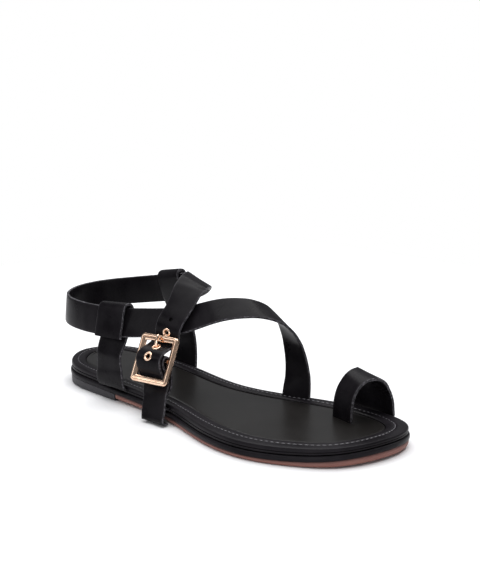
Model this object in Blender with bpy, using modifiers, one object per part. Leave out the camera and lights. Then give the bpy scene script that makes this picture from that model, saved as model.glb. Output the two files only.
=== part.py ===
"""Toe loop sandal, right shoe: flat sole, one long wrapped strap, toe loop and pin buckle.

Metres, +X toward the toe, +Y medial (big toe side), +Z up, standing on z = 0.
Lengths in the tables are millimetres, measured from the back of the heel and the
middle line of the sole; everything is shifted at the end so that the origin lies
under the middle of the part.
"""
import math

import bmesh
import bpy
import numpy as np
from mathutils import Matrix, Vector

MM = 0.001

# Sole
SOLE_LENGTH = 252.0
GAP = 0.3                 # air between neighbouring pieces
BAND_THICK = 3.0          # black midsole band
BREAST_AT = 72.0          # front face of the heel lift
FOOTBED_INSET = 0.8       # the footbed stands in from the band's edge
RIM_WIDTH = 10.0          # flat leather rim round the sock
SOCK_RECESS = 1.9         # depth of the recess that takes the sock
SOCK_THICK = 0.9

# Straps
STRAP_WIDTH = 17.4
STRAP_THICK = 1.8
TAB_WIDTH = 17.6
EDGE_BEVEL = 0.35

# Buckle
BUCKLE_WIDE = 27.0
BUCKLE_HIGH = 28.0
BUCKLE_RAIL = 3.7
BUCKLE_DEEP = 2.4
BAR_RADIUS = 1.1
PRONG_RADIUS = 0.95
HOLE_RADIUS = 1.75
EYELET_RADIUS = 2.7
EYELET_TUBE = 0.45
BUCKLE_MIDDLE = Vector((115.0, -36.1, 34.2))
BUCKLE_ACROSS = Vector((0.985, 0.17, 0.0))
BUCKLE_OUT = Vector((0.15, -0.895, 0.42))

# Sole outline. turn: degrees from heel (0) to toe (180) with
# along = length * (1 - cos turn) / 2; lateral and medial: half widths in mm
OUTLINE = [
    # turn, lateral, medial
    (0, 0.0, 0.0),
    (18, 14.8, 17.8),
    (36, 28.8, 27.2),
    (54, 32.4, 27.4),
    (72, 33.6, 25.0),
    (90, 36.8, 22.4),
    (108, 47.2, 32.9),
    (126, 49.2, 43.0),
    (144, 37.6, 41.2),
    (162, 20.6, 29.2),
    (180, -8.2, 8.2),
]

# Side profile: heights in mm over the floor
PROFILE = [
    # along, band top, footbed rise over it, outsole underside
    (0, 9.2, 5.1, 1.4),
    (25, 8.6, 5.2, 1.4),
    (50, 7.9, 5.1, 1.4),
    (75, 7.3, 5.0, 1.3),
    (105, 6.5, 4.8, 0.9),
    (140, 5.6, 4.7, 0.0),
    (176, 5.2, 4.6, 0.0),
    (212, 5.3, 4.2, 0.0),
    (236, 6.3, 3.8, 0.3),
    (252, 8.0, 3.3, 1.2),
]

# The long strap, from the medial forefoot over the instep, round the heel, over the
# ankle's front and down to the buckle. Centre in mm, and the direction across it
WRAP = [
    # x, y, z, across x, across y, across z
    (164.1, 27.3, 6.4, -0.93, -0.36, 0.00),
    (163.7, 28.2, 12.0, -0.95, -0.32, 0.00),
    (161.4, 31.3, 21.0, -0.99, -0.12, -0.05),
    (158.8, 31.9, 34.0, -1.00, 0.05, -0.03),
    (158.1, 26.3, 48.3, -0.97, 0.23, 0.12),
    (156.9, 16.8, 58.3, -0.88, 0.39, 0.28),
    (151.1, 2.5, 63.4, -0.77, 0.49, 0.41),
    (139.4, -9.4, 62.0, -0.64, 0.54, 0.54),
    (121.1, -16.7, 55.2, -0.42, 0.53, 0.74),
    (98.6, -22.9, 50.6, -0.19, 0.47, 0.86),
    (76.3, -28.4, 47.9, -0.09, 0.30, 0.95),
    (52.3, -30.7, 46.5, -0.03, 0.17, 0.99),
    (28.7, -29.4, 46.3, 0.02, 0.09, 1.00),
    (9.8, -21.2, 46.8, 0.08, 0.04, 1.00),
    (0.4, -5.9, 47.9, 0.07, -0.04, 1.00),
    (2.8, 10.4, 49.4, 0.00, -0.10, 0.99),
    (18.1, 22.5, 52.0, -0.09, -0.09, 0.99),
    (42.8, 27.6, 56.3, -0.16, -0.09, 0.98),
    (70.3, 25.6, 61.7, -0.28, -0.24, 0.93),
    (92.4, 16.2, 68.3, -0.56, -0.48, 0.67),
    (107.1, 2.8, 73.1, -0.73, -0.53, 0.43),
    (114.6, -10.6, 70.0, -0.90, -0.37, 0.23),
    (116.9, -19.5, 61.3, -0.97, -0.22, 0.13),
    (116.3, -26.9, 50.8, -0.98, -0.17, 0.10),
]
# Its last stretch lies in the buckle: distance down from the middle bar, out of the
# buckle's plane and sideways toward the toe
WRAP_IN_BUCKLE = [
    # down, out, sideways
    (-14.2, -3.0, 1.8),
    (-10.4, -2.8, 0.9),
    (-6.8, 0.2, 0.3),
    (-3.2, 3.4, -0.4),
    (0.0, 4.4, -0.8),
    (3.2, 3.4, -0.9),
    (6.8, 0.2, -0.9),
    (10.4, -2.8, -0.9),
    (13.2, -3.1, -0.9),
]

TOE_LOOP = [
    # x, y, z, across x, across y, across z, wide
    (209.1, 17.4, 6.4, -0.98, 0.20, 0.00, 17.2),
    (209.2, 17.3, 12.0, -0.98, 0.22, 0.03, 17.2),
    (209.7, 17.5, 19.4, -0.97, 0.25, 0.06, 17.2),
    (211.0, 20.1, 27.5, -0.96, 0.28, 0.05, 17.2),
    (212.8, 25.6, 32.2, -0.97, 0.22, 0.09, 17.2),
    (213.5, 32.8, 32.1, -0.98, 0.13, 0.12, 18.2),
    (211.0, 39.4, 27.3, -0.99, 0.08, 0.09, 23.8),
    (207.5, 43.7, 19.6, -1.00, 0.02, 0.05, 30.6),
    (205.6, 44.7, 12.5, -1.00, 0.00, 0.00, 33.6),
    (204.9, 44.2, 8.2, -1.00, 0.00, 0.00, 34.6),
    (204.9, 42.0, 6.8, -1.00, 0.00, 0.00, 34.6),
    (204.9, 38.8, 6.6, -1.00, 0.00, 0.00, 34.6),
]

KEEPER_LATERAL = [
    # x, y, z, wide: up from under the footbed, inside the ankle strap, over it and down outside
    (72.0, -27.3, 8.9, 25.6),
    (72.0, -30.2, 8.8, 25.6),
    (72.0, -33.6, 9.4, 25.6),
    (71.6, -34.9, 12.6, 24.8),
    (70.0, -34.3, 20.0, 23.0),
    (69.0, -33.4, 28.0, 22.2),
    (68.6, -30.8, 34.5, 22.0),
    (68.5, -28.0, 41.0, 22.0),
    (68.6, -26.2, 47.5, 22.0),
    (68.6, -24.6, 53.0, 22.0),
    (68.6, -24.3, 55.9, 22.0),
    (68.6, -25.8, 57.6, 22.0),
    (68.6, -28.7, 57.5, 22.0),
    (68.6, -30.5, 55.0, 22.0),
    (68.6, -32.1, 47.6, 22.0),
    (68.6, -33.5, 41.0, 22.0),
    (68.7, -33.9, 38.4, 22.0),
]
KEEPER_MEDIAL = [
    # x, y, z, wide
    (66.0, 20.6, 8.9, 23.0),
    (66.0, 24.3, 8.8, 23.0),
    (66.1, 27.0, 9.9, 23.0),
    (66.2, 27.8, 13.0, 22.6),
    (66.3, 28.1, 20.0, 22.0),
    (64.8, 28.5, 31.0, 22.0),
    (62.5, 27.5, 41.0, 22.0),
    (60.0, 25.5, 50.5, 22.0),
    (57.6, 24.2, 58.0, 22.0),
    (56.2, 23.2, 64.5, 22.0),
    (55.9, 23.1, 67.3, 22.0),
    (55.8, 24.6, 69.2, 22.0),
    (55.9, 27.5, 69.1, 22.0),
    (56.2, 29.2, 66.2, 22.0),
    (57.4, 30.7, 57.0, 22.0),
    (59.0, 31.7, 49.5, 22.0),
    (59.8, 31.9, 46.6, 22.0),
]

# Buckle tab: foot in the groove, up inside, round the bar, down outside and tucked under
TAB_FOOT = [
    # x, y, z
    (118.4, -30.2, 7.6),
    (118.4, -33.6, 7.5),
    (118.3, -37.0, 8.0),
    (118.0, -38.6, 11.0),
]
TAB_INSIDE = [
    # down, out: beside the buckle's plane, from below up to the bar
    (15.5, -7.6),
    (10.0, -7.3),
    (4.6, -4.1),
]
TAB_BEND = 2.35           # radius of the tab's middle round the bar
TAB_OUTSIDE = [
    # down, out, sideways: from the bar down again
    (2.6, 1.6, 0.0),
    (4.6, -0.6, 0.1),
    (7.4, -3.3, 0.5),
    (10.8, -5.3, 1.1),
    (14.0, -5.7, 1.8),
]
TAB_END = [
    # x, y, z
    (118.4, -38.2, 16.4),
    (120.1, -40.7, 12.2),
    (121.9, -42.8, 8.0),
    (123.5, -44.7, 4.0),
    (123.8, -44.9, 2.6),
    (123.8, -43.6, 1.4),
    (123.8, -41.2, 1.3),
]

# Prong: down, out in the buckle's frame, from the bar to the tip on the top rail
PRONG = [
    # down, out
    (-1.8, 0.1),
    (-4.4, -0.3),
    (-6.3, 0.5),
    (-8.2, 2.1),
    (-11.5, 3.0),
    (-13.8, 2.4),
]
HOLES = [
    # down from the middle bar along the strap
    -0.4,
    -6.9,
    -18.2,
    -25.2,
]
RINGED_HOLES = (0, 1, 2)


def paint(name, colour, rough, metal=0.0):
    mat = bpy.data.materials.new(name)
    mat.use_nodes = True
    shader = mat.node_tree.nodes["Principled BSDF"]
    shader.inputs["Base Color"].default_value = (*colour, 1.0)
    shader.inputs["Roughness"].default_value = rough
    shader.inputs["Metallic"].default_value = metal
    mat.diffuse_color = (*colour, 1.0)
    return mat


def spline(knots, values):
    """Natural cubic through the values; returns a function of the knot parameter."""
    t = np.asarray(knots, float)
    v = np.asarray(values, float)
    if v.ndim == 1:
        v = v[:, None]
    n = len(t)
    h = np.diff(t)
    grid = np.zeros((n, n))
    right = np.zeros((n, v.shape[1]))
    grid[0, 0] = 1.0
    grid[-1, -1] = 1.0
    for i in range(1, n - 1):
        grid[i, i - 1] = h[i - 1]
        grid[i, i] = 2.0 * (h[i - 1] + h[i])
        grid[i, i + 1] = h[i]
        right[i] = 3.0 * ((v[i + 1] - v[i]) / h[i] - (v[i] - v[i - 1]) / h[i - 1])
    c = np.linalg.solve(grid, right)
    b = (np.diff(v, axis=0) / h[:, None]) - h[:, None] * (2.0 * c[:-1] + c[1:]) / 3.0
    d = np.diff(c, axis=0) / (3.0 * h[:, None])

    def at(s):
        s = np.atleast_1d(np.asarray(s, float))
        i = np.clip(np.searchsorted(t, s, side="right") - 1, 0, n - 2)
        u = (s - t[i])[:, None]
        out = v[i] + u * (b[i] + u * (c[i] + u * d[i]))
        return out[:, 0] if out.shape[1] == 1 else out

    return at


OUTLINE_TURN = [math.radians(row[0]) for row in OUTLINE]
half_lateral = spline(OUTLINE_TURN, [row[1] for row in OUTLINE])
half_medial = spline(OUTLINE_TURN, [row[2] for row in OUTLINE])
band_top = spline([row[0] for row in PROFILE], [row[1] for row in PROFILE])
footbed_rise = spline([row[0] for row in PROFILE], [row[2] for row in PROFILE])
under = spline([row[0] for row in PROFILE], [row[3] for row in PROFILE])


def at_height(x, fn):
    return float(fn(min(max(x, 0.0), SOLE_LENGTH))[0])


def turn_at(x):
    return math.acos(max(-1.0, min(1.0, 1.0 - 2.0 * x / SOLE_LENGTH)))


def rim_top(x):
    return at_height(x, band_top) + at_height(x, footbed_rise)


def outline(inset, start=0.0, end=SOLE_LENGTH, count=36):
    """Lateral side from heel to toe and medial side likewise, moved in by the inset."""
    turns = np.linspace(turn_at(start), turn_at(end), count)
    fine = 0.01
    sides = []
    for sign, half in ((-1.0, half_lateral), (1.0, half_medial)):
        def point(t):
            return np.array([SOLE_LENGTH * (1 - math.cos(t)) / 2, sign * float(half(t)[0])])
        side = []
        for t in turns:
            before = point(max(t - fine, 0.0))
            after = point(min(t + fine, math.pi))
            step = after - before
            step /= np.linalg.norm(step)
            inward = np.array([step[1], -step[0]]) * sign
            side.append(point(t) + inset * inward)
        sides.append(side)
    return sides


def sole_piece(name, rings, mat, start=0.0, end=SOLE_LENGTH, count=36, across=4):
    """Closed layer of the sole from rings (inset, height function), bottom ring first.
    The first and the last ring are closed across the sole."""
    mesh = bmesh.new()
    closed_heel = start <= 0.0
    closed_toe = end >= SOLE_LENGTH
    loops = []
    grids = []
    for k, (inset, height) in enumerate(rings):
        lateral, medial = outline(inset, start, end, count)
        if closed_heel:
            middle = (lateral[0] + medial[0]) / 2
            lateral[0] = middle
            medial[0] = middle
        if closed_toe:
            middle = (lateral[-1] + medial[-1]) / 2
            lateral[-1] = middle
            medial[-1] = middle
        left = []
        right = []
        for i in range(count):
            a = lateral[i]
            b = medial[i]
            va = mesh.verts.new((a[0], a[1], height(a[0])))
            shared = (i == 0 and closed_heel) or (i == count - 1 and closed_toe)
            vb = va if shared else mesh.verts.new((b[0], b[1], height(b[0])))
            left.append(va)
            right.append(vb)
        loops.append((left, right))
        if k in (0, len(rings) - 1):
            rows = []
            for i in range(count):
                row = [left[i]]
                if left[i] is not right[i]:
                    for j in range(1, across):
                        p = lateral[i] + (medial[i] - lateral[i]) * j / across
                        row.append(mesh.verts.new((p[0], p[1], height(p[0]))))
                    row.append(right[i])
                rows.append(row)
            grids.append(rows)

    def face(*corners):
        corners = [v for i, v in enumerate(corners) if v is not corners[i - 1]]
        if len(corners) > 2:
            mesh.faces.new(corners)

    for (left_a, right_a), (left_b, right_b) in zip(loops, loops[1:]):
        for i in range(count - 1):
            face(left_a[i], left_a[i + 1], left_b[i + 1], left_b[i])
            face(right_a[i + 1], right_a[i], right_b[i], right_b[i + 1])
    for rows, flip in zip(grids, (True, False)):
        for low, high in zip(rows, rows[1:]):
            if len(low) == 1 or len(high) == 1:
                tip, row = (low, high) if len(low) == 1 else (high, low)
                for j in range(len(row) - 1):
                    face(tip[0], row[j], row[j + 1])
            else:
                for j in range(len(low) - 1):
                    face(low[j], high[j], high[j + 1], low[j + 1])
    for which, shut in ((0, closed_heel), (-1, closed_toe)):
        if shut:
            continue
        first = grids[0][which]
        last = grids[1][which]
        rim = [v[0][which] for v in loops[1:-1]]
        far = [v[1][which] for v in loops[1:-1]]
        mesh.faces.new(first + far + last[::-1] + rim[::-1])
    bmesh.ops.recalc_face_normals(mesh, faces=mesh.faces)
    return finish_mesh(name, mesh, mat)


def finish_mesh(name, mesh, mat):
    for v in mesh.verts:
        v.co *= MM
    data = bpy.data.meshes.new(name)
    mesh.to_mesh(data)
    mesh.free()
    data.materials.append(mat)
    obj = bpy.data.objects.new(name, data)
    parts.objects.link(obj)
    return obj


def path_frames(rows, across_rows, steps):
    """Even-turning samples along a smooth path: centre, tangent and direction across."""
    rows = np.asarray(rows, float)
    across_rows = np.asarray(across_rows, float)
    knots = np.concatenate([[0.0], np.cumsum(np.linalg.norm(np.diff(rows, axis=0), axis=1))])
    centre = spline(knots, rows)
    across = spline(knots, across_rows)
    fine = np.linspace(0.0, knots[-1], 1200)
    points = centre(fine)
    tangents = np.gradient(points, fine, axis=0)
    tangents /= np.linalg.norm(tangents, axis=1)[:, None]
    turning = np.arccos(np.clip((tangents[1:] * tangents[:-1]).sum(axis=1), -1.0, 1.0))
    effort = np.concatenate([[0.0], np.cumsum(turning / 0.16 + np.diff(fine) / 6.0)])
    at = np.interp(np.linspace(0.0, effort[-1], steps), effort, fine)
    centres = centre(at)
    ways = np.stack([np.interp(at, fine, tangents[:, i]) for i in range(3)], axis=1)
    ways /= np.linalg.norm(ways, axis=1)[:, None]
    sides = across(at)
    sides -= (sides * ways).sum(axis=1)[:, None] * ways
    sides /= np.linalg.norm(sides, axis=1)[:, None]
    stations = np.interp(at, knots, np.arange(len(rows)))
    return centres, ways, sides, stations


def strap(name, rows, across_rows, width, mat, steps, thick=STRAP_THICK):
    """Flat strip between the strap's two edges, made solid and eased at its cut edges."""
    centres, ways, sides, stations = path_frames(rows, across_rows, steps)
    wide = np.interp(stations, np.arange(len(rows)), width)
    mesh = bmesh.new()
    low = [mesh.verts.new(c - s * w / 2) for c, s, w in zip(centres, sides, wide)]
    high = [mesh.verts.new(c + s * w / 2) for c, s, w in zip(centres, sides, wide)]
    for i in range(steps - 1):
        mesh.faces.new((low[i], low[i + 1], high[i + 1], high[i]))
    obj = finish_mesh(name, mesh, mat)
    solid = obj.modifiers.new("thickness", "SOLIDIFY")
    solid.thickness = thick * MM
    solid.offset = 0.0
    ease = obj.modifiers.new("eased edge", "BEVEL")
    ease.width = EDGE_BEVEL * MM
    ease.segments = 1
    ease.limit_method = "ANGLE"
    ease.angle_limit = math.radians(50)
    return obj


def cut(obj, cutter):
    tool = obj.modifiers.new("cut", "BOOLEAN")
    tool.operation = "DIFFERENCE"
    tool.solver = "EXACT"
    tool.object = cutter


def cutter_box(name, middle, size, across=(1.0, 0.0, 0.0)):
    """Box cutter with its long side along a direction in the floor plane."""
    mesh = bmesh.new()
    bmesh.ops.create_cube(mesh, size=1.0)
    turn = Matrix.Rotation(math.atan2(across[1], across[0]), 4, "Z")
    move = Matrix.Translation(Vector(middle) * MM)
    scale = Matrix.Diagonal((size[0] * MM, size[1] * MM, size[2] * MM, 1.0))
    bmesh.ops.transform(mesh, matrix=move @ turn @ scale, verts=mesh.verts)
    return keep_cutter(name, mesh)


def keep_cutter(name, mesh):
    data = bpy.data.meshes.new(name)
    mesh.to_mesh(data)
    mesh.free()
    obj = bpy.data.objects.new(name, data)
    obj.hide_render = True
    obj.display_type = "WIRE"
    cutters.objects.link(obj)
    return obj


def cutter_pin(name, middle, axis, radius, length):
    mesh = bmesh.new()
    bmesh.ops.create_cone(
        mesh, cap_ends=True, segments=12, radius1=radius * MM, radius2=radius * MM,
        depth=length * MM,
    )
    turn = Vector((0, 0, 1)).rotation_difference(Vector(axis)).to_matrix().to_4x4()
    bmesh.ops.transform(mesh, matrix=Matrix.Translation(Vector(middle) * MM) @ turn, verts=mesh.verts)
    return keep_cutter(name, mesh)


for old in list(bpy.data.objects):
    bpy.data.objects.remove(old)
parts = bpy.data.collections.new("toe_loop_sandal")
cutters = bpy.data.collections.new("cutters")
bpy.context.scene.collection.children.link(parts)
bpy.context.scene.collection.children.link(cutters)

black_leather = paint("black leather", (0.028, 0.027, 0.029), 0.45)
insole_leather = paint("smooth insole leather", (0.035, 0.034, 0.034), 0.4)
tan_leather = paint("tan outsole leather", (0.30, 0.17, 0.13), 0.6)
black_rubber = paint("black heel rubber", (0.02, 0.02, 0.021), 0.6)
rose_gold = paint("rose gold plate", (0.86, 0.62, 0.47), 0.2, 1.0)

# The buckle's own frame: across, out and down
across_dir = BUCKLE_ACROSS.normalized()
out_dir = (BUCKLE_OUT - across_dir * BUCKLE_OUT.dot(across_dir)).normalized()
down_dir = across_dir.cross(out_dir)
if down_dir.z > 0:
    down_dir = -down_dir


def in_buckle(down, out, side=0.0):
    return BUCKLE_MIDDLE + down_dir * down + out_dir * out + across_dir * side


# Sole, from the floor up
def band_under(x):
    return at_height(x, band_top) - BAND_THICK


def layer(lift, fn):
    return lambda x: fn(x) + lift


midsole = sole_piece(
    "midsole",
    [
        (0.6, layer(0.0, band_under)),
        (0.1, layer(0.4, band_under)),
        (0.0, layer(BAND_THICK - 0.7, band_under)),
        (0.5, layer(BAND_THICK, band_under)),
    ],
    black_leather,
)


def floor_under(x):
    return at_height(x, under)


def outsole_top(x):
    return band_under(x) - GAP


def outsole_side(x):
    return floor_under(x) + min(0.6, 0.4 * (outsole_top(x) - floor_under(x)))


outsole = sole_piece(
    "outsole",
    [
        (1.6, floor_under),
        (0.7, outsole_side),
        (0.4, layer(-0.2, outsole_top)),
        (0.6, outsole_top),
    ],
    tan_leather,
    start=BREAST_AT + 1.0,
)

heel_lift = sole_piece(
    "heel_lift",
    [
        (1.2, lambda x: 0.0),
        (0.6, lambda x: 0.6),
        (0.5, layer(-GAP - 0.2, band_under)),
        (0.7, layer(-GAP, band_under)),
    ],
    black_rubber,
    end=BREAST_AT,
    count=20,
)


def bed_under(x):
    return at_height(x, band_top) + GAP


def bed_wall(x):
    return rim_top(x) - 0.9


footbed = sole_piece(
    "footbed",
    [
        (FOOTBED_INSET + 0.8, bed_under),
        (FOOTBED_INSET, layer(0.6, bed_under)),
        (FOOTBED_INSET - 0.1, bed_wall),
        (FOOTBED_INSET + 0.4, layer(-0.3, rim_top)),
        (FOOTBED_INSET + 1.4, rim_top),
        (RIM_WIDTH - 0.6, layer(-0.1, rim_top)),
        (RIM_WIDTH, layer(-0.7, rim_top)),
        (RIM_WIDTH + 0.1, layer(-SOCK_RECESS, rim_top)),
    ],
    black_leather,
)
insole_sock = sole_piece(
    "insole_sock",
    [
        (RIM_WIDTH + 0.4, layer(-SOCK_RECESS + GAP, rim_top)),
        (RIM_WIDTH + 0.4, layer(-SOCK_RECESS + GAP + SOCK_THICK - 0.3, rim_top)),
        (RIM_WIDTH + 0.9, layer(-SOCK_RECESS + GAP + SOCK_THICK, rim_top)),
    ],
    insole_leather,
)

# Straps
wrap_rows = [row[:3] for row in WRAP] + [tuple(in_buckle(*row)) for row in WRAP_IN_BUCKLE]
wrap_across = [row[3:] for row in WRAP] + [tuple(-across_dir)] * len(WRAP_IN_BUCKLE)
wrap_strap = strap("wrap_strap", wrap_rows, wrap_across, [STRAP_WIDTH] * len(wrap_rows), black_leather, 112)

toe_loop = strap(
    "toe_loop", [row[:3] for row in TOE_LOOP], [row[3:6] for row in TOE_LOOP],
    [row[6] for row in TOE_LOOP], black_leather, 44,
)
keeper_lateral = strap(
    "keeper_lateral", [row[:3] for row in KEEPER_LATERAL],
    [(1.0, 0.0, 0.0)] * 6 + [(0.985, 0.11, 0.07)] * (len(KEEPER_LATERAL) - 6),
    [row[3] for row in KEEPER_LATERAL], black_leather, 54,
)
keeper_medial = strap(
    "keeper_medial", [row[:3] for row in KEEPER_MEDIAL],
    [(1.0, -0.04, 0.0)] * 5 + [(0.98, -0.09, 0.18)] * (len(KEEPER_MEDIAL) - 5),
    [row[3] for row in KEEPER_MEDIAL], black_leather, 54,
)

# The tab wraps the bar: half a turn through the top, from inside to outside
bend = []
for angle in (-60, -20, 20, 60, 100):
    a = math.radians(angle)
    bend.append(in_buckle(-TAB_BEND * math.cos(a), TAB_BEND * math.sin(a)))
tab_rows = (
    [Vector(p) for p in TAB_FOOT]
    + [in_buckle(d, o, 2.0) for d, o in TAB_INSIDE]
    + bend
    + [in_buckle(d, o, s) for d, o, s in TAB_OUTSIDE]
    + [Vector(p) for p in TAB_END]
)
tab_across = [(1.0, -0.08, 0.0)] * 4 + [tuple(across_dir)] * 13 + [(1.0, 0.03, 0.0)] * 7
buckle_tab = strap(
    "buckle_tab", [tuple(p) for p in tab_rows], tab_across, [TAB_WIDTH] * len(tab_rows), black_leather, 60,
    thick=1.5,
)

# Slots and pockets that take the straps' feet
leg_slot = cutter_box("leg slot", (163.9, 27.6, 9.0), (STRAP_WIDTH + 1.0, 3.4, 14.0), (0.93, 0.36))
cut(footbed, leg_slot)
toe_slot = cutter_box("toe slot", (209.1, 17.4, 9.0), (18.0, 2.8, 14.0), (0.98, -0.2))
cut(footbed, toe_slot)
cut(insole_sock, toe_slot)
POCKETS = [
    # name, middle x, middle y, long, deep
    ("keeper lateral pocket", 72.0, -31.2, 26.6, 8.4),
    ("keeper medial pocket", 66.0, 24.4, 24.0, 8.4),
    ("tab pocket", 118.4, -34.2, TAB_WIDTH + 0.8, 8.8),
    ("toe loop pocket", 204.9, 42.0, 35.8, 7.2),
]
for pocket_name, x, y, long_side, deep in POCKETS:
    base = at_height(x, band_top)
    cut(footbed, cutter_box(pocket_name, (x, y, base + 1.6), (long_side, deep, 3.2)))

# Prong holes and their rings
wrap_centres, wrap_ways, wrap_sides, _ = path_frames(wrap_rows, wrap_across, 400)
bar_at = np.argmin(np.linalg.norm(wrap_centres - np.array(in_buckle(0.0, 4.4, -0.8)), axis=1))
lengths = np.concatenate([[0.0], np.cumsum(np.linalg.norm(np.diff(wrap_centres, axis=0), axis=1))])
eyelets = []
for index, down in enumerate(HOLES):
    here = lengths[bar_at] + down * 1.08
    spot = [float(np.interp(here, lengths, wrap_centres[:, i])) for i in range(3)]
    way = np.array([float(np.interp(here, lengths, wrap_ways[:, i])) for i in range(3)])
    side = np.array([float(np.interp(here, lengths, wrap_sides[:, i])) for i in range(3)])
    face_out = np.cross(way, side)
    if face_out.dot(np.array(out_dir)) < 0:
        face_out = -face_out
    pin = cutter_pin(f"prong hole {index + 1}", spot, face_out, HOLE_RADIUS, 6.0)
    cut(wrap_strap, pin)
    if index in RINGED_HOLES:
        eyelets.append((f"eyelet_{index + 1}", spot, face_out))

for ring_name, spot, face_out in eyelets:
    data = bpy.data.curves.new(ring_name, "CURVE")
    data.dimensions = "3D"
    data.bevel_depth = EYELET_TUBE * MM
    data.bevel_resolution = 1
    data.resolution_u = 4
    ring = data.splines.new("BEZIER")
    ring.bezier_points.add(3)
    radius = (EYELET_RADIUS - EYELET_TUBE) * MM
    grip = radius * 0.5523
    for k, point in enumerate(ring.bezier_points):
        a = k * math.pi / 2
        point.co = (radius * math.cos(a), radius * math.sin(a), 0)
        point.handle_left = point.co + Vector((grip * math.sin(a), -grip * math.cos(a), 0))
        point.handle_right = point.co - Vector((grip * math.sin(a), -grip * math.cos(a), 0))
    ring.use_cyclic_u = True
    data.materials.append(rose_gold)
    obj = bpy.data.objects.new(ring_name, data)
    turn = Vector((0, 0, 1)).rotation_difference(Vector(face_out)).to_matrix().to_4x4()
    lift = Vector(spot) + Vector(face_out) * (STRAP_THICK / 2 + EYELET_TUBE + 0.35)
    obj.matrix_world = Matrix.Translation(lift * MM) @ turn
    parts.objects.link(obj)

# Buckle
buckle_turn = Matrix((across_dir, -down_dir, out_dir)).transposed().to_4x4()
buckle_place = Matrix.Translation(BUCKLE_MIDDLE * MM) @ buckle_turn


def buckle_box(size):
    mesh = bmesh.new()
    bmesh.ops.create_cube(mesh, size=1.0)
    bmesh.ops.scale(mesh, vec=Vector(size) * MM, verts=mesh.verts)
    return mesh


window_mesh = buckle_box((BUCKLE_WIDE - 2 * BUCKLE_RAIL, BUCKLE_HIGH - 2 * BUCKLE_RAIL, 10.0))
bmesh.ops.transform(window_mesh, matrix=buckle_place, verts=window_mesh.verts)
window = keep_cutter("buckle window", window_mesh)
frame_mesh = buckle_box((BUCKLE_WIDE, BUCKLE_HIGH, BUCKLE_DEEP))
upright_edges = [
    e for e in frame_mesh.edges
    if abs(e.verts[0].co.z - e.verts[1].co.z) > 0.5 * BUCKLE_DEEP * MM
]
bmesh.ops.bevel(
    frame_mesh, geom=upright_edges, offset=2.0 * MM, segments=3, profile=0.5, affect="EDGES",
)
bmesh.ops.transform(frame_mesh, matrix=buckle_place, verts=frame_mesh.verts)
data = bpy.data.meshes.new("buckle_frame")
frame_mesh.to_mesh(data)
frame_mesh.free()
data.materials.append(rose_gold)
buckle_frame = bpy.data.objects.new("buckle_frame", data)
parts.objects.link(buckle_frame)
cut(buckle_frame, window)
soften = buckle_frame.modifiers.new("bevelled rails", "BEVEL")
soften.width = 0.7 * MM
soften.segments = 2
soften.limit_method = "ANGLE"
soften.angle_limit = math.radians(50)


def rod(name, points, radius, mat, round_steps=2):
    data = bpy.data.curves.new(name, "CURVE")
    data.dimensions = "3D"
    data.bevel_depth = radius * MM
    data.bevel_resolution = round_steps
    data.resolution_u = 3
    data.use_fill_caps = True
    line = data.splines.new("BEZIER")
    line.bezier_points.add(len(points) - 1)
    for point, place in zip(line.bezier_points, points):
        point.co = Vector(place) * MM
        point.handle_left_type = "AUTO"
        point.handle_right_type = "AUTO"
    data.materials.append(mat)
    obj = bpy.data.objects.new(name, data)
    parts.objects.link(obj)
    return obj


half_bar = BUCKLE_WIDE / 2 - BUCKLE_RAIL - 0.1
rod("buckle_bar", [in_buckle(0, 0, -half_bar), in_buckle(0, 0, half_bar)], BAR_RADIUS, rose_gold)
rod("buckle_prong", [in_buckle(d, o, 0.2) for d, o in PRONG], PRONG_RADIUS, rose_gold)

# The prong's slot through the tab's bend
slot_mesh = buckle_box((3.2, 7.4, 8.0))
slot_place = Matrix.Translation(in_buckle(-1.6, 2.4) * MM) @ buckle_turn
bmesh.ops.transform(slot_mesh, matrix=slot_place, verts=slot_mesh.verts)
cut(buckle_tab, keep_cutter("prong slot", slot_mesh))

# Shift so that the origin lies under the middle of the whole part
bpy.context.view_layer.update()
graph = bpy.context.evaluated_depsgraph_get()
low = Vector((1e9, 1e9, 1e9))
high = Vector((-1e9, -1e9, -1e9))
for obj in parts.objects:
    shape = obj.evaluated_get(graph)
    data = shape.to_mesh()
    for v in data.vertices:
        p = obj.matrix_world @ v.co
        low = Vector(min(a, b) for a, b in zip(low, p))
        high = Vector(max(a, b) for a, b in zip(high, p))
    shape.to_mesh_clear()
shift = Matrix.Translation(Vector((-(low.x + high.x) / 2, -(low.y + high.y) / 2, -low.z)))
for obj in list(parts.objects) + list(cutters.objects):
    obj.matrix_world = shift @ obj.matrix_world
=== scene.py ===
"""Looks of the toe loop sandal: black leather straps, wrapped footbed, rose gold buckle.

Lengths in the tables are millimetres in the sandal's own frame: x from the back of the
heel toward the toe, y toward the big toe side, z up from the floor.
"""
import math

import bmesh
import bpy
import numpy as np
from mathutils import Matrix, Vector


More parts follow.
